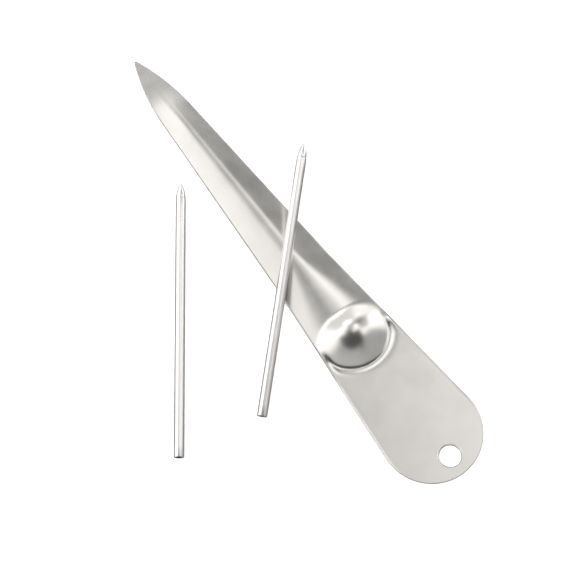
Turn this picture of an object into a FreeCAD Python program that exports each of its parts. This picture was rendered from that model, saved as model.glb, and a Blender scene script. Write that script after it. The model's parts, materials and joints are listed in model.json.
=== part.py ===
import FreeCAD, Part
import math
import os

import Sketcher

# A stamped steel blade with a central rib that runs into an oval boss, and two
# hollow lacing needles, each a drawn tube with a solid point pressed into it.
# Row frame, millimetres: the origin is the centre of the hanging hole on the
# underside of the blade, +X runs from the blade's point to its round end, and
# +Z is up from the table that the three pieces lie on.

doc = FreeCAD.newDocument("lacing_set")

DRIVING_SIZES = {
    # flat blank of the blade
    "sheet_thickness": 1.0,
    "nose_to_hole": 164.5,
    "nose_half_width": 0.35,
    "ogive_radius": 74.0,
    "shoulder_to_hole": 140.5,
    "shoulder_half_width": 5.85,
    "waist_to_hole": 74.5,
    "waist_half_width": 10.0,
    "end_centre_to_hole": 9.5,
    "end_radius": 16.0,
    "hole_radius": 3.3,
    # pressed rib: four stations, from its start behind the nose to the boss
    "rib_crest_radius": 2.5,
    "rib_1_to_hole": 151.5,
    "rib_1_half_width": 1.2,
    "rib_1_rise": 0.15,
    "rib_2_to_hole": 136.5,
    "rib_2_half_width": 5.6,
    "rib_2_rise": 1.6,
    "rib_3_to_hole": 80.0,
    "rib_3_half_width": 9.2,
    "rib_3_rise": 2.5,
    "rib_4_to_hole": 48.5,
    "rib_4_half_width": 11.4,
    "rib_4_rise": 3.5,
    # pressed boss: the top of an ellipsoid whose centre is below the table
    "boss_to_hole": 45.6,
    "boss_half_length": 9.0,
    "boss_half_width": 12.0,
    "boss_height": 6.2,
    "boss_centre_depth": 2.0,
    # needles
    "needle_length": 88.9,
    "needle_radius": 1.6,
    "bore_radius": 1.4,
    "mouth_chamfer": 0.1,
    "point_length": 5.7,
    "point_base_radius": 1.5,
    "point_collar": 0.3,
    "point_tip_radius": 0.15,
    "spigot_radius": 1.2,
    "spigot_length": 4.0,
    "seat_depth": 4.5,
    # where each needle lies, by the centre of its open back end
    "left_back_x": -48.6,
    "left_back_y": -65.4,
    "left_heading": 143.9,
    "left_tilt": 0.0,
    "right_back_x": -43.7,
    "right_back_y": -38.0,
    "right_heading": 134.5,
    "right_tilt": 3.9,
}


def make_sheet(values):
    """Put every driving dimension in a spreadsheet, each under its alias."""
    sheet = doc.addObject("Spreadsheet::Sheet", "Sizes")
    for row, (alias, value) in enumerate(values.items(), start=1):
        sheet.set(f"A{row}", alias)
        sheet.set(f"B{row}", str(value))
        sheet.setAlias(f"B{row}", alias)
    doc.recompute()
    return sheet


SHEET = make_sheet(DRIVING_SIZES)


def size(alias):
    """A driving dimension, as the sheet holds it."""
    return float(getattr(SHEET, alias))


def flat(x, y):
    """A point in a sketch's own plane."""
    return FreeCAD.Vector(x, y, 0)


def mirrored(place):
    return flat(place.x, -place.y)


def make_body(name):
    body = doc.addObject("PartDesign::Body", name)
    body.Label = name
    return body


def origin_plane(body, role):
    return next(f for f in body.Origin.OriginFeatures if f.Role == role)


def sketch_on(body, name, role, offset=None):
    """A sketch on one of the body's origin planes, moved along its normal."""
    sketch = body.newObject("Sketcher::SketchObject", name)
    sketch.AttachmentSupport = [(origin_plane(body, role), "")]
    sketch.MapMode = "FlatFace"
    if offset:
        sketch.setExpression("AttachmentOffset.Base.z", offset)
    return sketch


def bind(sketch, kind, where, name, expression):
    """Add one dimension to a sketch and tie it to the sheet."""
    value = float(sketch.evalExpression(expression))
    index = sketch.addConstraint(Sketcher.Constraint(kind, *where, value))
    sketch.renameConstraint(index, name)
    sketch.setExpression(f"Constraints.{name}", expression)


def pin(sketch, geometry, vertex, name, across, up):
    """Fix a vertex at (across, up) from the sketch's origin."""
    bind(sketch, "DistanceX", (-1, 1, geometry, vertex), name + "_across", across)
    bind(sketch, "DistanceY", (-1, 1, geometry, vertex), name + "_up", up)


def join(sketch, *pairs):
    for first, second in pairs:
        sketch.addConstraint(Sketcher.Constraint("Coincident", *first, *second))


def polygon(sketch, corners):
    """A closed run of lines; each corner is (name, across, up), as expressions."""
    places = [
        flat(float(sketch.evalExpression(across)), float(sketch.evalExpression(up)))
        for _, across, up in corners
    ]
    count = len(places)
    for i in range(count):
        sketch.addGeometry(Part.LineSegment(places[i], places[(i + 1) % count]), False)
    for i in range(count):
        join(sketch, ((i, 2), ((i + 1) % count, 1)))
    for i, (name, across, up) in enumerate(corners):
        pin(sketch, i, 1, name, across, up)


# ---------------------------------------------------------------- blade


def ogive_middle():
    """The middle of the curved edge between the nose and the shoulder."""
    start = flat(-size("nose_to_hole"), size("nose_half_width"))
    end = flat(-size("shoulder_to_hole"), size("shoulder_half_width"))
    chord = end - start
    radius = size("ogive_radius")
    bulge = radius - math.sqrt(radius**2 - (chord.Length / 2) ** 2)
    outwards = flat(-chord.y, chord.x).normalize()
    return (start + end) * 0.5 + outwards * bulge


def end_tangent():
    """Where the straight edge from the waist meets the round end."""
    centre = flat(-size("end_centre_to_hole"), 0)
    to_waist = flat(-size("waist_to_hole"), size("waist_half_width")) - centre
    radius = size("end_radius")
    angle = math.atan2(to_waist.y, to_waist.x) - math.acos(radius / to_waist.Length)
    return centre + flat(math.cos(angle), math.sin(angle)) * radius


def blank_outline(body):
    """The flat outline: ogive nose, tapering edges and a round end."""
    sketch = sketch_on(body, "BlankOutline", "XY_Plane")
    nose = flat(-size("nose_to_hole"), size("nose_half_width"))
    shoulder = flat(-size("shoulder_to_hole"), size("shoulder_half_width"))
    waist = flat(-size("waist_to_hole"), size("waist_half_width"))
    middle = ogive_middle()
    meet = end_tangent()
    far_end = flat(size("end_radius") - size("end_centre_to_hole"), 0)
    edges = [
        Part.LineSegment(mirrored(nose), nose),
        Part.Arc(nose, middle, shoulder),
        Part.LineSegment(shoulder, waist),
        Part.LineSegment(waist, meet),
        Part.Arc(meet, far_end, mirrored(meet)),
        Part.LineSegment(mirrored(meet), mirrored(waist)),
        Part.LineSegment(mirrored(waist), mirrored(shoulder)),
        Part.Arc(mirrored(shoulder), mirrored(middle), mirrored(nose)),
    ]
    sketch.addGeometry(edges, False)
    # an arc's own start and end run anticlockwise, against this clockwise outline
    join(sketch, ((0, 2), (1, 2)), ((1, 1), (2, 1)), ((2, 2), (3, 1)))
    join(sketch, ((5, 2), (6, 1)), ((6, 2), (7, 2)), ((7, 1), (0, 1)))
    sketch.addConstraint(Sketcher.Constraint("Tangent", 3, 2, 4, 2))
    sketch.addConstraint(Sketcher.Constraint("Tangent", 5, 1, 4, 1))
    for side, sign, vertices in (("far", "", (0, 2, 3)), ("near", "-", (7, 6, 5))):
        place = {0: (0, 2), 2: (2, 1), 3: (3, 1), 7: (0, 1), 6: (6, 2), 5: (5, 2)}
        for name, index in zip(("nose", "shoulder", "waist"), vertices):
            across = f"-Sizes.{name}_to_hole"
            up = f"{sign}Sizes.{name}_half_width"
            pin(sketch, *place[index], f"{name}_{side}", across, up)
    bind(sketch, "Radius", (1,), "ogive_far", "Sizes.ogive_radius")
    bind(sketch, "Radius", (7,), "ogive_near", "Sizes.ogive_radius")
    pin(sketch, 4, 3, "end_centre", "-Sizes.end_centre_to_hole", "0")
    bind(sketch, "Radius", (4,), "end_radius", "Sizes.end_radius")
    return sketch


def rib_section(body, name, station, foot, base):
    """One cross-section of the rib: two straight flanks under a round crest.

    foot is the height of the flanks' feet, and base the height at which the
    closed profile ends below them."""
    sketch = sketch_on(body, name, "YZ_Plane", f"-Sizes.rib_{station}_to_hole")
    half = f"Sizes.rib_{station}_half_width"
    centre = f"{foot} + Sizes.rib_{station}_rise - Sizes.rib_crest_radius"
    foot_place = flat(*(float(sketch.evalExpression(e)) for e in (half, foot)))
    base_z = float(sketch.evalExpression(base))
    centre_z = float(sketch.evalExpression(centre))
    radius = size("rib_crest_radius")
    drop = foot_place.y - centre_z
    turn = math.atan2(drop, foot_place.x) + math.acos(radius / math.hypot(foot_place.x, drop))
    touch = flat(radius * math.cos(turn), centre_z + radius * math.sin(turn))
    crest = flat(0, centre_z + radius)

    def left(place):
        return flat(-place.x, place.y)

    base_place = flat(foot_place.x, base_z)
    edges = [
        Part.LineSegment(left(base_place), left(foot_place)),
        Part.LineSegment(left(foot_place), left(touch)),
        Part.Arc(left(touch), crest, touch),
        Part.LineSegment(touch, foot_place),
        Part.LineSegment(foot_place, base_place),
        Part.LineSegment(base_place, left(base_place)),
    ]
    sketch.addGeometry(edges, False)
    join(sketch, ((0, 2), (1, 1)), ((3, 2), (4, 1)), ((4, 2), (5, 1)), ((5, 2), (0, 1)))
    # the crest arc runs anticlockwise, from the right flank to the left one
    sketch.addConstraint(Sketcher.Constraint("Tangent", 1, 2, 2, 2))
    sketch.addConstraint(Sketcher.Constraint("Tangent", 3, 1, 2, 1))
    pin(sketch, 0, 1, "base_left", "-" + half, base)
    pin(sketch, 1, 1, "foot_left", "-" + half, foot)
    pin(sketch, 4, 1, "foot_right", half, foot)
    pin(sketch, 5, 1, "base_right", half, base)
    pin(sketch, 2, 3, "crest_centre", "0", centre)
    return sketch


def add_rib(body, feature, name, foot, base):
    """A loft through the rib's four stations, added or cut away."""
    stations = [
        rib_section(body, f"{name}Section{station}", station, foot, base)
        for station in (1, 2, 3, 4)
    ]
    rib = body.newObject(feature, name)
    rib.Profile = stations[0]
    rib.Sections = stations[1:]
    rib.Ruled = True
    return rib


def add_boss(body, feature, name, less):
    """The upper part of the boss's ellipsoid, smaller all round by less."""
    boss = body.newObject(feature, name)
    boss.AttachmentSupport = [(origin_plane(body, "XY_Plane"), "")]
    boss.MapMode = "FlatFace"
    boss.setExpression("AttachmentOffset.Base.x", "-Sizes.boss_to_hole")
    boss.setExpression("AttachmentOffset.Base.z", "-Sizes.boss_centre_depth")
    full_height = "Sizes.boss_height + Sizes.boss_centre_depth"
    boss.setExpression("Radius1", f"{full_height} - {less}")
    boss.setExpression("Radius2", f"Sizes.boss_half_length - {less}")
    boss.setExpression("Radius3", f"Sizes.boss_half_width - {less}")
    return boss


def trim_underside(body):
    """Cut away what the boss's ellipsoid leaves below the table plane."""
    sketch = sketch_on(body, "TrimOutline", "XY_Plane")
    low, high = "-Sizes.nose_to_hole", "Sizes.end_radius"
    corners = [
        ("a", low, "-2 * Sizes.end_radius"),
        ("b", high, "-2 * Sizes.end_radius"),
        ("c", high, "2 * Sizes.end_radius"),
        ("d", low, "2 * Sizes.end_radius"),
    ]
    polygon(sketch, corners)
    trim = body.newObject("PartDesign::Pocket", "Trim")
    trim.Profile = sketch
    trim.Type = "ThroughAll"
    return trim


def cut_hanging_hole(body):
    sketch = sketch_on(body, "HoleOutline", "XY_Plane", "Sizes.sheet_thickness")
    circle = Part.Circle(flat(0, 0), flat(0, 0) + FreeCAD.Vector(0, 0, 1), size("hole_radius"))
    sketch.addGeometry(circle, False)
    pin(sketch, 0, 3, "hole", "0", "0")
    bind(sketch, "Radius", (0,), "hole_radius", "Sizes.hole_radius")
    hole = body.newObject("PartDesign::Pocket", "HangingHole")
    hole.Profile = sketch
    hole.Type = "ThroughAll"
    return hole


def make_blade():
    """The sheet keeps its thickness everywhere: what rises outside is hollow inside."""
    body = make_body("blade")
    blank = body.newObject("PartDesign::Pad", "Blank")
    blank.Profile = blank_outline(body)
    blank.setExpression("Length", "Sizes.sheet_thickness")
    top, table = "Sizes.sheet_thickness", "0"
    add_rib(body, "PartDesign::AdditiveLoft", "RibOutside", top, "Sizes.sheet_thickness / 2")
    add_boss(body, "PartDesign::AdditiveEllipsoid", "BossOutside", "0")
    doc.recompute()
    before = body.Shape.Volume
    trim_underside(body)
    doc.recompute()
    trimmed = body.Shape.Volume
    if trimmed >= before:
        raise RuntimeError("the underside trim cut nothing")
    add_rib(body, "PartDesign::SubtractiveLoft", "RibInside", table, "-Sizes.sheet_thickness")
    add_boss(body, "PartDesign::SubtractiveEllipsoid", "BossInside", "Sizes.sheet_thickness")
    doc.recompute()
    hollowed = body.Shape.Volume
    if hollowed >= trimmed:
        raise RuntimeError("the hollows under the rib and the boss cut nothing")
    cut_hanging_hole(body)
    doc.recompute()
    if body.Shape.Volume >= hollowed:
        raise RuntimeError("the hanging hole cut nothing")
    return body


# ---------------------------------------------------------------- needles


def revolve(body, name, sketch):
    turned = body.newObject("PartDesign::Revolution", name)
    turned.Profile = sketch
    turned.ReferenceAxis = (sketch, ["H_Axis"])
    turned.Angle = 360
    return turned


def needle_tube(side):
    """The drawn tube, open at its back end, which is at the body's origin.

    Its bore is reamed from the back; the narrower stretch left in front is the
    seat of the point's spigot."""
    body = make_body(f"{side}_needle_tube")
    sketch = sketch_on(body, "TubeProfile", "XZ_Plane")
    front = "Sizes.needle_length - Sizes.point_length"
    shoulder = f"{front} - Sizes.seat_depth"
    corners = [
        ("mouth_in", "Sizes.mouth_chamfer", "Sizes.bore_radius"),
        ("shoulder_in", shoulder, "Sizes.bore_radius"),
        ("shoulder_out", shoulder, "Sizes.spigot_radius"),
        ("front_in", front, "Sizes.spigot_radius"),
        ("front_out", front, "Sizes.needle_radius"),
        ("mouth_out", "0", "Sizes.needle_radius"),
        ("chamfer", "0", "Sizes.bore_radius + Sizes.mouth_chamfer"),
    ]
    polygon(sketch, corners)
    revolve(body, "Tube", sketch)
    return body


def needle_point(side):
    """The solid point: a spigot inside the tube, a short collar and a cone."""
    body = make_body(f"{side}_needle_point")
    sketch = sketch_on(body, "PointProfile", "XZ_Plane")
    seat = "Sizes.needle_length - Sizes.point_length"
    corners = [
        ("spigot_axis", f"{seat} - Sizes.spigot_length", "0"),
        ("spigot_back", f"{seat} - Sizes.spigot_length", "Sizes.spigot_radius"),
        ("spigot_front", seat, "Sizes.spigot_radius"),
        ("collar_back", seat, "Sizes.point_base_radius"),
        ("collar_front", f"{seat} + Sizes.point_collar", "Sizes.point_base_radius"),
        ("tip_edge", "Sizes.needle_length", "Sizes.point_tip_radius"),
        ("tip_axis", "Sizes.needle_length", "0"),
    ]
    polygon(sketch, corners)
    revolve(body, "Point", sketch)
    return body


def lay_down(body, side):
    """Lay a needle on the table by its back end, turned and tilted up."""
    tilt = size(f"{side}_tilt")
    back = FreeCAD.Vector(
        size(f"{side}_back_x"),
        size(f"{side}_back_y"),
        size("needle_radius") * math.cos(math.radians(tilt)),
    )
    heading = FreeCAD.Rotation(FreeCAD.Vector(0, 0, 1), size(f"{side}_heading"))
    lift = FreeCAD.Rotation(FreeCAD.Vector(0, 1, 0), -tilt)
    body.Placement = FreeCAD.Placement(back, heading * lift)
    return body


def check(parts):
    """Stop if any object failed or any sub-part has no sound solid."""
    for item in doc.Objects:
        if "Invalid" in item.State or "Error" in item.State:
            raise RuntimeError(f"{item.Name} failed: {item.State}")
    for body in parts:
        shape = body.Shape
        if shape.isNull() or not shape.isValid() or len(shape.Solids) != 1:
            raise RuntimeError(f"{body.Label} is not one valid solid")
        print(f"{body.Label}: {shape.Volume:.1f} mm3, {shape.BoundBox}")


def main():
    parts = [make_blade()]
    for side in ("left", "right"):
        parts.append(lay_down(needle_tube(side), side))
        parts.append(lay_down(needle_point(side), side))
    doc.recompute()
    check(parts)
    os.makedirs("parts", exist_ok=True)
    for body in parts:
        body.Shape.exportStep(f"parts/{body.Label}.step")


main()
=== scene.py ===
import json
import math

import bpy
from mathutils import Matrix, Vector


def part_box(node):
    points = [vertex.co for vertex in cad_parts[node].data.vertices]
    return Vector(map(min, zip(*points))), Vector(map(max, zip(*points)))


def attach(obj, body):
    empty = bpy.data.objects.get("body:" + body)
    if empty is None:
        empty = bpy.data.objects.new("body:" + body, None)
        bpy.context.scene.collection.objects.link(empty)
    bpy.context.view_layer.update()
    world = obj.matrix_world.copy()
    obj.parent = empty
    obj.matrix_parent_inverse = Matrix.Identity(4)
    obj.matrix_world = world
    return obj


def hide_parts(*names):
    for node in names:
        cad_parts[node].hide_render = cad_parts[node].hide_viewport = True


# A pressed steel blade and two hollow lacing needles, lying on a pale table.
# The scene is in metres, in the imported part's own frame: the origin is the centre
# of the hanging hole on the blade's underside, +X runs from the blade's point to
# its round end, and +Z is up. The shapes are worked out in millimetres: on the
# blade "along" is the distance from the point and "across" the distance from the
# axis towards +Y, and on a needle "along" is the distance from its open back end.

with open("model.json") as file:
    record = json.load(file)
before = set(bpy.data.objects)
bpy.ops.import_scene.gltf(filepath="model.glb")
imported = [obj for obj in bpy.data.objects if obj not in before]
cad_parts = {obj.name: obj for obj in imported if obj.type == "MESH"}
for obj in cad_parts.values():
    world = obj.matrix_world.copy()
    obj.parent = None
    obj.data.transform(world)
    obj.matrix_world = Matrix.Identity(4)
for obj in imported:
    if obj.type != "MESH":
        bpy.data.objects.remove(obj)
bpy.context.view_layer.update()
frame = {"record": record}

MM = 0.001


def mount(name):
    """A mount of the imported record: its place, axis and sizes."""
    return next(m for m in frame["record"]["mounts"] if m["name"] == name)


# ------------------------------------------------------------ driving sizes

# camera and studio
CAMERA_AZIMUTH = math.radians(52.94)
CAMERA_ELEVATION = math.radians(72.0)
CAMERA_DISTANCE = 450.0
CAMERA_TARGET = (-71.95, -6.8)
CAMERA_LENS = 90.0
CAMERA_SENSOR = 36.0
FLOOR_SIZE = 6000.0
FLOOR_DROP = 0.05
KEY_SIZE = 900.0
KEY_HEIGHT, KEY_LEFT = 1300.0, 100.0
KEY_ENERGY = 26.0

# blade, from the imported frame
BLADE_LOW, BLADE_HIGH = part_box("blade")
THICKNESS = mount("hanging_hole")["dims"]["length_mm"]
HOLE_RADIUS = mount("hanging_hole")["dims"]["r_mm"]
HOLE_ALONG = -BLADE_LOW.x / MM
BLADE_LENGTH = (BLADE_HIGH.x - BLADE_LOW.x) / MM
END_RADIUS = BLADE_HIGH.y / MM
END_CENTRE = BLADE_LENGTH - END_RADIUS
BOSS_HEIGHT = BLADE_HIGH.z / MM - THICKNESS

# blade outline
NOSE_HALF_WIDTH = 0.35
NOSE_BULGE = 0.3
NOSE_BLEND = 3.0
SHOULDER, SHOULDER_HALF_WIDTH = 24.0, 5.85
OGIVE_RADIUS = 74.0
WAIST, WAIST_HALF_WIDTH = 90.0, 10.0
EDGE_ROUND = 0.14

# pressed form of the blade; the boss is measured from its crown
FLANK_SLOPE = math.tan(math.radians(15.0))
FLANK_BULGE = 0.2
RIB_START, RIB_FULL = 7.0, 32.0
CREST_SHARE, BROAD_SHARE = 0.38, 1.4
BROAD_START, BROAD_END = 84.0, 112.0
SHARPEST_CREST = 0.01
BOSS_ALONG = 116.0
BOSS_TIP_LENGTH, BOSS_HANDLE_LENGTH = 7.6, 10.3
BOSS_HALF_WIDTH = 10.6
BOSS_CROWN = 2.0
BOSS_FILLET = 2.2
RIB_ENDS_BEFORE, RIB_ENDS_AFTER = 1.0, 8.0

# groove round the handle side of the boss, in shares of the boss's foot, and how
# it fades: by the cosine of the angle from the handle, and towards the blade's edge
GROOVE_AT = 1.09
GROOVE_WIDTH = 0.15
GROOVE_DEPTH = 0.60
GROOVE_NONE, GROOVE_FULL = -0.15, 0.45
GROOVE_MARGIN, GROOVE_CLEAR = 0.3, 3.0

# needles
NEEDLE_LENGTH = 88.9
NEEDLE_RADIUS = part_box("left_needle_tube")[1].z / MM / 2.0
BORE_RADIUS = mount("left_needle_mouth")["dims"]["r_mm"]
MOUTH_CHAMFER = 0.1
POINT_LENGTH = 5.7
POINT_RADIUS = 1.5
POINT_COLLAR = 0.3
POINT_TIP_RADIUS = 0.15
POINT_FULLNESS = 1.9
SPIGOT_RADIUS = 1.2
SPIGOT_LENGTH = 4.0
SEAT_DEPTH = 4.5
LIP_ROUND = 0.07

# mesh density, and the step that slopes are measured over
SLOPE_STEP = 0.02
ROW_STEP = 0.45
COLUMNS = 60
GRID_END = 146.0
END_SEGMENTS = 132
HOLE_RINGS = 26
EDGE_STEPS = 4
NEEDLE_SEGMENTS = 72
NEEDLE_SPANS = 24
POINT_STEPS = 14


# ------------------------------------------------------------ small helpers


def ramp(low, high, x):
    """0 below low, 1 above high, and a smooth rise between them."""
    t = min(max((x - low) / (high - low), 0.0), 1.0)
    return t * t * (3.0 - 2.0 * t)


def mix(a, b, share):
    return a + (b - a) * share


def soft_max(a, b, width):
    """The larger of two heights, their crease rounded where they differ by less than width."""
    gap = max(width - abs(a - b), 0.0)
    return max(a, b) + gap * gap / (4.0 * width)


def soft_min(a, b, width):
    return -soft_max(-a, -b, width)


def make_mesh(name, points, faces, material):
    """A smooth-shaded mesh from points in millimetres."""
    mesh = bpy.data.meshes.new(name)
    mesh.from_pydata([point * MM for point in points], [], faces)
    mesh.validate()
    mesh.materials.append(material)
    mesh.shade_smooth()
    return mesh


def add_piece(name, mesh, body, node):
    """Put a finished mesh in the scene as the piece that stands for a CAD node."""
    piece = bpy.data.objects.new(name, mesh)
    bpy.context.scene.collection.objects.link(piece)
    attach(piece, body)
    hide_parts(node)
    return piece


# ------------------------------------------------------------ blade outline


def ogive_centre():
    """Centre of the arc that joins the nose to the shoulder."""
    start = Vector((0.0, NOSE_HALF_WIDTH))
    end = Vector((SHOULDER, SHOULDER_HALF_WIDTH))
    chord = end - start
    inwards = Vector((chord.y, -chord.x)).normalized()
    reach = math.sqrt(OGIVE_RADIUS**2 - (chord.length / 2.0) ** 2)
    return (start + end) / 2.0 + inwards * reach


def end_tangent():
    """Where the straight edge meets the round end."""
    to_waist = Vector((WAIST - END_CENTRE, WAIST_HALF_WIDTH))
    angle = math.atan2(to_waist.y, to_waist.x) - math.acos(END_RADIUS / to_waist.length)
    return Vector((END_CENTRE + END_RADIUS * math.cos(angle), END_RADIUS * math.sin(angle)))


OGIVE = ogive_centre()
MEET = end_tangent()


def half_width(along):
    """Half the width of the blade at this distance from the point."""
    if along <= SHOULDER:
        return OGIVE.y + math.sqrt(OGIVE_RADIUS**2 - (along - OGIVE.x) ** 2)
    if along <= WAIST:
        share = (along - SHOULDER) / (WAIST - SHOULDER)
        return mix(SHOULDER_HALF_WIDTH, WAIST_HALF_WIDTH, share)
    if along <= MEET.x:
        return mix(WAIST_HALF_WIDTH, MEET.y, (along - WAIST) / (MEET.x - WAIST))
    return math.sqrt(max(END_RADIUS**2 - (along - END_CENTRE) ** 2, 0.0))


# ------------------------------------------------------------ pressed form


def flank(inwards, reach):
    """A flank's height over its slope, this far in from the edge: steeper by the edge."""
    return inwards * (1.0 + FLANK_BULGE * (1.0 - inwards / reach))


def rib_rise(along, across):
    """Height of the rib over the flat sheet: a gable whose round crest broadens
    towards the boss."""
    reach = half_width(along)
    slope = FLANK_SLOPE * ramp(RIB_START, RIB_FULL, along)
    broad = ramp(BROAD_START, BROAD_END, along)
    rounding = mix(CREST_SHARE, BROAD_SHARE, broad) * slope * reach
    far = slope * flank(reach - across, reach)
    near = slope * flank(reach + across, reach)
    return soft_min(far, near, max(rounding, SHARPEST_CREST))


def boss_place(along, across):
    """Distance from the boss's crown as a share of its foot, and the angle."""
    x = (along - BOSS_ALONG) / (BOSS_TIP_LENGTH if along < BOSS_ALONG else BOSS_HANDLE_LENGTH)
    y = across / BOSS_HALF_WIDTH
    return math.hypot(x, y), math.atan2(y, x)


def boss_rise(along, across):
    """Height of the oval boss over the flat sheet, and below it beyond the boss's foot."""
    share = boss_place(along, across)[0]
    return BOSS_HEIGHT * (1.0 - share**BOSS_CROWN)


def groove(along, across):
    """Depth of the crease pressed round the handle side of the boss's foot."""
    share, angle = boss_place(along, across)
    depth = GROOVE_DEPTH * ramp(GROOVE_NONE, GROOVE_FULL, math.cos(angle))
    depth *= ramp(GROOVE_MARGIN, GROOVE_CLEAR, half_width(along) - abs(across))
    return depth * math.exp(-(((share - GROOVE_AT) / GROOVE_WIDTH) ** 2))


def pressed(along, across):
    """Height of the sheet's upper face before the groove is struck."""
    left = 1.0 - ramp(BOSS_ALONG - RIB_ENDS_BEFORE, BOSS_ALONG + RIB_ENDS_AFTER, along)
    rib = rib_rise(along, across) * left
    return THICKNESS + soft_max(rib, boss_rise(along, across), BOSS_FILLET)


def struck(along, across):
    """Height of the sheet's upper face."""
    return pressed(along, across) - groove(along, across)


def normal_of(height, along, across):
    """Upward unit normal of a height field."""
    step = SLOPE_STEP
    slope_x = (height(along + step, across) - height(along - step, across)) / (2 * step)
    slope_y = (height(along, across + step) - height(along, across - step)) / (2 * step)
    return Vector((-slope_x, -slope_y, 1.0)).normalized()


# ------------------------------------------------------------ blade mesh


def blade_grid():
    """Flat places of the blade's quads, its faces, and its two edge loops.

    Rows run across the blade from the nose, and the wide end is a ring of quads
    between the last row, the round end and the hanging hole."""
    places, faces = [], []
    first = NOSE_BULGE + EDGE_ROUND
    count = round((GRID_END - first) / ROW_STEP)
    for i in range(count + 1):
        along = mix(first, GRID_END, i / count)
        reach = half_width(along) - EDGE_ROUND
        bulge = NOSE_BULGE * (1.0 - ramp(0.0, NOSE_BLEND, along - first))
        for j in range(COLUMNS + 1):
            share = 1.0 - 2.0 * j / COLUMNS
            places.append((along - bulge * (1.0 - share**2), share * reach))
    width = COLUMNS + 1
    for i in range(count):
        for j in range(COLUMNS):
            corner = i * width + j
            faces.append((corner, corner + width, corner + width + 1, corner + 1))
    last_row = [count * width + j for j in range(width)]
    outer = last_row + round_end(places)
    hole = hole_rings(places, faces, outer)
    near_edge = [i * width + COLUMNS for i in range(count)]
    far_edge = [i * width for i in range(count, -1, -1)]
    nose = list(range(1, COLUMNS))
    outline = far_edge + nose + near_edge + outer[COLUMNS:]
    return places, faces, outline, hole


def round_end(places):
    """Add the outline from the last row round the end, and return its numbers."""
    start = len(places)
    reach = half_width(GRID_END) - EDGE_ROUND
    straight = Vector((MEET.x - GRID_END, MEET.y - EDGE_ROUND - reach)).length
    half_turn = math.atan2(MEET.y, MEET.x - END_CENTRE)
    radius = END_RADIUS - EDGE_ROUND
    total = 2.0 * straight + 2.0 * half_turn * radius
    for i in range(1, END_SEGMENTS):
        gone = total * i / END_SEGMENTS
        side = -1.0 if gone < total / 2.0 else 1.0
        left = min(gone, total - gone)
        if left < straight:
            share = left / straight
            along = mix(GRID_END, MEET.x, share)
            places.append((along, side * (half_width(along) - EDGE_ROUND)))
            continue
        turn = half_turn - (left - straight) / radius
        places.append((END_CENTRE + radius * math.cos(turn), side * radius * math.sin(turn)))
    return list(range(start, start + END_SEGMENTS - 1))


def hole_rings(places, faces, outer):
    """Add rings of quads from the outer loop in to the hole; return the inner loop."""
    centre = Vector((HOLE_ALONG, 0.0))
    previous = outer
    for ring in range(1, HOLE_RINGS + 1):
        share = ring / HOLE_RINGS
        current = []
        for index in outer:
            edge = Vector(places[index])
            inner = centre + (edge - centre).normalized() * (HOLE_RADIUS + EDGE_ROUND)
            place = edge.lerp(inner, share)
            current.append(len(places))
            places.append((place.x, place.y))
        for i, (a, c) in enumerate(zip(previous, current)):
            b, d = previous[(i + 1) % len(outer)], current[(i + 1) % len(outer)]
            faces.append((a, c, d, b))
        previous = current
    return previous


def edge_rings(top, under, normals, loop, sign):
    """Rings of points from the upper face round the sheet's edge to the lower one."""
    turns = [math.pi / 2.0 * k / EDGE_STEPS for k in range(1, EDGE_STEPS + 1)]
    steps = [(top, -1.0, turn) for turn in turns] + [(under, 1.0, turn) for turn in turns[::-1]]
    rings = []
    for face, inwards, turn in steps:
        ring = []
        for i, index in enumerate(loop):
            ahead = top[loop[(i + 1) % len(loop)]] - top[loop[i - 1]]
            outwards = ahead.cross(normals[index]).normalized() * sign
            move = outwards * math.sin(turn) + normals[index] * inwards * (1.0 - math.cos(turn))
            ring.append(face[index] + move * EDGE_ROUND)
        rings.append(ring)
    return rings


def to_frame(along, across, height):
    """A point on the blade, in millimetres in the part's frame."""
    return Vector((along - HOLE_ALONG, across, height))


def blade_mesh(material):
    """The pressed sheet: upper face, lower face and the rounded edges between."""
    places, faces, outline, hole = blade_grid()
    top = [to_frame(a, c, struck(a, c)) for a, c in places]
    normals = [normal_of(pressed, a, c) for a, c in places]
    under = [
        to_frame(a, c, pressed(a, c)) - normal * THICKNESS
        for (a, c), normal in zip(places, normals)
    ]
    count = len(places)
    points = top + under
    all_faces = [tuple(reversed(face)) for face in faces]
    all_faces += [tuple(index + count for index in face) for face in faces]
    for loop, sign in ((outline, 1.0), (hole, -1.0)):
        rings = [loop]
        for ring in edge_rings(top, under, normals, loop, sign):
            rings.append(list(range(len(points), len(points) + len(ring))))
            points.extend(ring)
        rings.append([index + count for index in loop])
        bridge(all_faces, rings, sign)
    return make_mesh("blade_sheet", points, all_faces, material)


def bridge(faces, rings, sign):
    """Quads between each ring and the next."""
    for upper, lower in zip(rings, rings[1:]):
        size = len(upper)
        for i in range(size):
            j = (i + 1) % size
            quad = (upper[i], upper[j], lower[j], lower[i])
            faces.append(quad if sign > 0 else tuple(reversed(quad)))


# ------------------------------------------------------------ needles


def lathe(profile, closed):
    """Points and quads of a profile of (along, radius) turned round the X axis."""
    points, faces = [], []
    size = len(profile)
    for i in range(NEEDLE_SEGMENTS):
        angle = 2.0 * math.pi * i / NEEDLE_SEGMENTS
        for along, radius in profile:
            points.append(Vector((along, radius * math.cos(angle), radius * math.sin(angle))))
    spans = size if closed else size - 1
    for i in range(NEEDLE_SEGMENTS):
        here, there = i * size, (i + 1) % NEEDLE_SEGMENTS * size
        for k in range(spans):
            n = (k + 1) % size
            faces.append((here + k, here + n, there + n, there + k))
    if not closed:
        faces.append(tuple(i * size for i in range(NEEDLE_SEGMENTS)))
        faces.append(tuple(i * size + size - 1 for i in reversed(range(NEEDLE_SEGMENTS))))
    return points, faces


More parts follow.
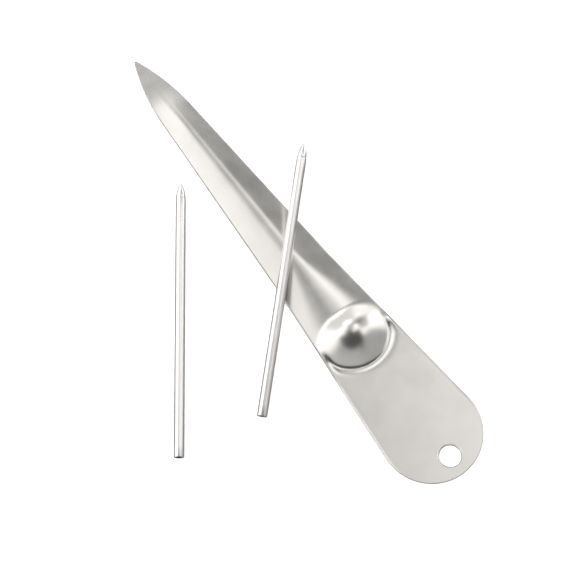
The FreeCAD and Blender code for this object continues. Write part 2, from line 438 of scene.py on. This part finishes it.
def quarter(along, radius, out, down):
    """A rounded outer corner: from the end face (down 0) to the outside (down 1)."""
    turns = (math.pi / 2.0 * k / EDGE_STEPS for k in range(EDGE_STEPS + 1))
    corner = [
        (
            along + out * LIP_ROUND * (1.0 - math.sin(turn)),
            radius - LIP_ROUND * (1.0 - math.cos(turn)),
        )
        for turn in turns
    ]
    return corner if down else corner[::-1]


def spread(start, end, radius, count):
    """Evenly spaced places along a straight stretch of a profile, both ends left out."""
    return [(mix(start, end, k / count), radius) for k in range(1, count)]


def tube_profile():
    """The drawn tube: bore, chamfered mouth, outside, and the seat for the point."""
    front = NEEDLE_LENGTH - POINT_LENGTH
    shoulder = front - SEAT_DEPTH
    bore = [(shoulder, BORE_RADIUS)]
    bore += spread(shoulder, MOUTH_CHAMFER, BORE_RADIUS, NEEDLE_SPANS)
    bore += [(MOUTH_CHAMFER, BORE_RADIUS), (0.0, BORE_RADIUS + MOUTH_CHAMFER)]
    outside = quarter(0.0, NEEDLE_RADIUS, 1.0, False)
    outside += spread(LIP_ROUND, front - LIP_ROUND, NEEDLE_RADIUS, NEEDLE_SPANS)
    outside += quarter(front, NEEDLE_RADIUS, -1.0, True)
    return bore + outside + [(front, SPIGOT_RADIUS), (shoulder, SPIGOT_RADIUS)]


def point_profile():
    """The solid point: a spigot, a short collar, and an ogive to a blunted tip."""
    seat = NEEDLE_LENGTH - POINT_LENGTH
    start = seat + POINT_COLLAR
    ogive = NEEDLE_LENGTH - POINT_TIP_RADIUS - start
    profile = [(seat - SPIGOT_LENGTH, SPIGOT_RADIUS), (seat, SPIGOT_RADIUS), (seat, POINT_RADIUS)]
    for k in range(POINT_STEPS + 1):
        share = k / POINT_STEPS
        radius = mix(POINT_RADIUS, POINT_TIP_RADIUS, share**POINT_FULLNESS)
        profile.append((start + ogive * share, radius))
    for k in range(1, EDGE_STEPS):
        turn = math.pi / 2.0 * k / EDGE_STEPS
        along = NEEDLE_LENGTH - POINT_TIP_RADIUS * (1.0 - math.sin(turn))
        profile.append((along, POINT_TIP_RADIUS * math.cos(turn)))
    return profile


def needle_place(side):
    """Where a needle lies: its own X axis runs from its open back end to its point."""
    mouth = mount(f"{side}_needle_mouth")
    ahead = -Vector(mouth["axis"])
    back = Vector(mouth["pos_m"]) - ahead * MOUTH_CHAMFER * MM
    return Matrix.Translation(back) @ ahead.to_track_quat("X", "Z").to_matrix().to_4x4()


def lay_down(mesh, place):
    """Move a needle's mesh to its place, and keep its own coordinates for the steel."""
    own = mesh.attributes.new("own_place", "FLOAT_VECTOR", "POINT")
    own.data.foreach_set("vector", [value for vertex in mesh.vertices for value in vertex.co])
    mesh.transform(place)


def bore_faces(mesh, profile):
    """Numbers of the faces inside the tube, behind its rounded mouth."""
    inner = BORE_RADIUS + 0.5 * MOUTH_CHAMFER
    hollow = [max(a[1], b[1]) <= inner for a, b in zip(profile, profile[1:] + profile[:1])]
    return [face.index for face in mesh.polygons if hollow[face.index % len(profile)]]


def add_needles(steel, bore):
    """Two needles, each a tube and a point."""
    profile = tube_profile()
    for side in ("left", "right"):
        tube = make_mesh(f"{side}_needle_tube", *lathe(profile, True), steel)
        # The faces inside the tube take the near-black bore material, painted shade for the
        # shadowed bore.
        tube.materials.append(bore)
        for index in bore_faces(tube, profile):
            tube.polygons[index].material_index = 1
        point = make_mesh(f"{side}_needle_point", *lathe(point_profile(), False), steel)
        for part, mesh in (("tube", tube), ("point", point)):
            lay_down(mesh, needle_place(side))
            node = f"{side}_needle_{part}"
            add_piece(f"{node}_steel", mesh, f"{side}_needle", node)


# ------------------------------------------------------------ materials


class Shader:
    """A node tree with short calls for the few nodes that the steels need."""

    def __init__(self, name, attribute=None):
        self.material = bpy.data.materials.new(name)
        self.material.use_nodes = True
        self.nodes = self.material.node_tree.nodes
        self.links = self.material.node_tree.links
        self.shader = self.nodes["Principled BSDF"]
        self.place = self.nodes.new("ShaderNodeTexCoord").outputs["Object"]
        if attribute:
            own = self.nodes.new("ShaderNodeAttribute")
            own.attribute_name = attribute
            self.place = own.outputs["Vector"]

    def stretch(self, scale, turn=0.0):
        """The piece's own coordinates, turned about Z and scaled."""
        node = self.nodes.new("ShaderNodeMapping")
        node.vector_type = "TEXTURE"
        node.inputs["Rotation"].default_value = (0.0, 0.0, turn)
        node.inputs["Scale"].default_value = scale
        self.links.new(self.place, node.inputs["Vector"])
        return node.outputs["Vector"]

    def noise(self, size, detail=3.0, stretch=(1.0, 1.0, 1.0), turn=0.0):
        """Noise whose blotches are about size metres wide."""
        node = self.nodes.new("ShaderNodeTexNoise")
        node.inputs["Scale"].default_value = 1.0
        node.inputs["Detail"].default_value = detail
        scale = tuple(size * share for share in stretch)
        self.links.new(self.stretch(scale, turn), node.inputs["Vector"])
        return node.outputs["Fac"]

    def between(self, value, low, high, to_low, to_high):
        """Map a value's range to another."""
        node = self.nodes.new("ShaderNodeMapRange")
        node.inputs["From Min"].default_value = low
        node.inputs["From Max"].default_value = high
        node.inputs["To Min"].default_value = to_low
        node.inputs["To Max"].default_value = to_high
        self.links.new(value, node.inputs["Value"])
        return node.outputs["Result"]

    def colours(self, value, dark, light):
        """Two colours mixed by a value."""
        node = self.nodes.new("ShaderNodeMix")
        node.data_type = "RGBA"
        node.inputs[6].default_value = (*dark, 1.0)
        node.inputs[7].default_value = (*light, 1.0)
        self.links.new(value, node.inputs[0])
        return node.outputs[2]

    def bump(self, height, distance, strength, below=None):
        """A bump of this height in metres, over another one."""
        node = self.nodes.new("ShaderNodeBump")
        node.inputs["Distance"].default_value = distance
        node.inputs["Strength"].default_value = strength
        self.links.new(height, node.inputs["Height"])
        if below:
            self.links.new(below, node.inputs["Normal"])
        return node.outputs["Normal"]

    def connect(self, socket, output):
        self.links.new(output, self.shader.inputs[socket])


BRIGHT_STEEL = ((0.90, 0.89, 0.88), (0.94, 0.93, 0.92), 0.30)
# The bore's near-black colours are painted shade: the dark of the shadowed inside of a needle
# tube, put into its colour.
BORE_PAINTED_SHADE = ((0.035, 0.033, 0.03), (0.06, 0.056, 0.053), 0.55)


def satin_steel():
    """Stamped stainless sheet: satin, faintly clouded, with fine scuffs."""
    steel = Shader("satin_steel")
    steel.shader.inputs["Metallic"].default_value = 1.0
    clouds = steel.noise(0.009, 4.0)
    tone = steel.between(clouds, 0.35, 0.65, 0.0, 1.0)
    steel.connect("Base Color", steel.colours(tone, (0.725, 0.71, 0.685), (0.79, 0.775, 0.755)))
    steel.connect("Roughness", steel.between(clouds, 0.2, 0.8, 0.22, 0.28))
    waves = steel.bump(steel.noise(0.016, 1.0), 0.00002, 0.5)
    scuffs = steel.noise(0.0004, 2.0, (14.0, 1.0, 1.0), 0.12)
    steel.connect("Normal", steel.bump(scuffs, 0.0000015, 0.15, waves))
    return steel.material


def polished_steel(name, dark, light, rough):
    """Drawn stainless, with faint lines along it, between two colours. The bore's copy gets
    near-black colours, which are painted shade for the shadowed inside of the tube.
    """
    steel = Shader(name, "own_place")
    steel.shader.inputs["Metallic"].default_value = 1.0
    cloud = steel.noise(0.004, 3.0, (4.0, 1.0, 1.0))
    steel.connect("Base Color", steel.colours(cloud, dark, light))
    steel.connect("Roughness", steel.between(cloud, 0.35, 0.65, rough - 0.03, rough + 0.04))
    lines = steel.noise(0.00012, 2.0, (90.0, 1.0, 1.0))
    steel.connect("Normal", steel.bump(lines, 0.000002, 0.4))
    return steel.material


# ------------------------------------------------------------ studio


def studio_axes():
    """The camera's right, its back along the table, and up, in the part's frame."""
    right = Vector((math.cos(CAMERA_AZIMUTH), math.sin(CAMERA_AZIMUTH), 0.0))
    back = Vector((-math.sin(CAMERA_AZIMUTH), math.cos(CAMERA_AZIMUTH), 0.0))
    return right, back, Vector((0.0, 0.0, 1.0))


# A white light tent. Each panel is (right, back, up), the angles in degrees where
# it is whole and where it has faded out, and its brightness. Later ones lie over
# earlier ones, and the notes say what on the steel mirrors each one.
TENT = 1.45
PANELS = (
    ((0.38, 0.64, 0.67), 16.0, 30.0, 0.50),  # far side of the rib
    ((0.33, 0.60, 0.73), 4.0, 13.0, 0.20),  # far side of the rib, darkest
    ((-0.45, 0.80, 0.40), 20.0, 32.0, 0.85),  # tip side of the boss
    ((0.62, -0.72, 0.30), 34.0, 54.0, 0.50),  # handle side of the boss
    ((0.34, -0.45, 0.82), 14.0, 32.0, 0.20),  # handle side, by the crown
    ((-0.10, -0.85, 0.50), 20.0, 45.0, 0.55),  # near side of the boss
    ((0.93, -0.25, 0.25), 25.0, 38.0, 0.46),  # far side of the boss, towards the handle
    ((0.00, 0.10, -1.00), 72.0, 92.0, 0.42),  # edges and undersides
    ((-0.95, 0.15, -0.45), 18.0, 30.0, 0.20),  # left rims of the needles
    ((0.95, 0.15, -0.45), 18.0, 30.0, 0.20),  # right rims of the needles
    ((-0.30, -0.34, 0.89), 10.0, 25.0, 0.34),  # near side of the boss, by the crown
    ((0.04, -0.26, 0.96), 26.0, 40.0, 0.07),  # crown of the boss
    ((0.74, 0.66, 0.11), 11.0, 18.0, 2.00),  # bright window on the boss
    ((-0.09, 0.44, 0.89), 7.0, 13.0, 0.31),  # tip of the blade
    ((-0.33, 0.75, 0.57), 10.0, 14.0, 1.90),  # bright band beyond the boss
    ((-0.55, 0.44, 0.71), 8.0, 12.0, 1.60),  # far end of that band
    ((-0.02, 0.40, 0.92), 4.0, 9.0, 0.48),  # between the tip and the rib
    ((0.21, 0.33, 0.92), 8.0, 15.0, 1.75),  # crest of the rib
    ((0.15, 0.14, 0.98), 4.5, 9.0, 1.25),  # handle end
    ((0.02, 0.32, 0.95), 5.0, 9.5, 0.67),  # flat sheet by the boss
    ((-0.22, 0.10, 0.97), 4.0, 10.0, 0.50),  # near side of the rib, by its crest
    ((-0.43, -0.02, 0.90), 5.0, 11.0, 1.20),  # near side of the rib
)


def light_tent():
    """The world: a white tent with softly edged panels of other brightness."""
    world = bpy.data.worlds.new("light_tent")
    world.use_nodes = True
    bpy.context.scene.world = world
    nodes, links = world.node_tree.nodes, world.node_tree.links
    direction = nodes.new("ShaderNodeTexCoord").outputs["Generated"]
    axes = studio_axes()
    level = None
    for place, whole, gone, brightness in PANELS:
        aim = sum((axis * share for axis, share in zip(axes, place)), Vector()).normalized()
        dot = nodes.new("ShaderNodeVectorMath")
        dot.operation = "DOT_PRODUCT"
        dot.inputs[1].default_value = aim
        links.new(direction, dot.inputs[0])
        fade = nodes.new("ShaderNodeMapRange")
        fade.interpolation_type = "SMOOTHERSTEP"
        fade.inputs["From Min"].default_value = math.cos(math.radians(gone))
        fade.inputs["From Max"].default_value = math.cos(math.radians(whole))
        links.new(dot.outputs["Value"], fade.inputs["Value"])
        blend = nodes.new("ShaderNodeMix")
        blend.inputs[2].default_value = TENT
        blend.inputs[3].default_value = brightness
        links.new(fade.outputs["Result"], blend.inputs[0])
        if level:
            links.new(level, blend.inputs[2])
        level = blend.outputs[0]
    links.new(level, nodes["Background"].inputs["Strength"])
    nodes["Background"].inputs["Color"].default_value = (1.0, 0.99, 0.975, 1.0)


def add_floor():
    """A plain pale table, just under the pieces."""
    half, depth = FLOOR_SIZE / 2.0, -FLOOR_DROP
    turns = ((-half, -half), (half, -half), (half, half), (-half, half))
    corners = [Vector((x, y, depth)) for x, y in turns]
    material = bpy.data.materials.new("pale_table")
    material.use_nodes = True
    shader = material.node_tree.nodes["Principled BSDF"]
    shader.inputs["Base Color"].default_value = (0.94, 0.94, 0.94, 1.0)
    shader.inputs["Roughness"].default_value = 0.9
    shader.inputs["Specular IOR Level"].default_value = 0.0
    mesh = make_mesh("table", corners, [(0, 1, 2, 3)], material)
    table = bpy.data.objects.new("table", mesh)
    bpy.context.scene.collection.objects.link(table)
    table.visible_glossy = False


def add_key_light():
    """A large soft lamp overhead. It lights the table, and the steel mirrors the tent."""
    right, _, up = studio_axes()
    lamp = bpy.data.lights.new("key", "AREA")
    lamp.size = KEY_SIZE * MM
    lamp.energy = KEY_ENERGY
    key = bpy.data.objects.new("key", lamp)
    key.location = (up * KEY_HEIGHT - right * KEY_LEFT) * MM
    key.rotation_euler = (-key.location).to_track_quat("-Z", "Y").to_euler()
    key.visible_glossy = False
    bpy.context.scene.collection.objects.link(key)


def add_camera():
    """The camera looks down at the middle of the three pieces."""
    _, back, up = studio_axes()
    target = Vector((*CAMERA_TARGET, 0.0)) * MM
    away = up * math.sin(CAMERA_ELEVATION) - back * math.cos(CAMERA_ELEVATION)
    lens = bpy.data.cameras.new("camera")
    lens.lens = CAMERA_LENS
    lens.sensor_width = CAMERA_SENSOR
    lens.clip_start = 0.01
    camera = bpy.data.objects.new("camera", lens)
    camera.location = target + away * CAMERA_DISTANCE * MM
    camera.rotation_euler = (-away).to_track_quat("-Z", "Y").to_euler()
    bpy.context.scene.collection.objects.link(camera)
    bpy.context.scene.camera = camera


# ------------------------------------------------------------ the scene

blade = blade_mesh(satin_steel())
add_piece("blade_sheet", blade, "blade", "blade")
bright = polished_steel("polished_steel", *BRIGHT_STEEL)
# The bore material: near-black painted shade for the inside of the needle tubes.
bore = polished_steel("bore_steel", *BORE_PAINTED_SHADE)
add_needles(bright, bore)
light_tent()
add_floor()
add_key_light()
add_camera()
bpy.context.scene.view_settings.view_transform = "Standard"
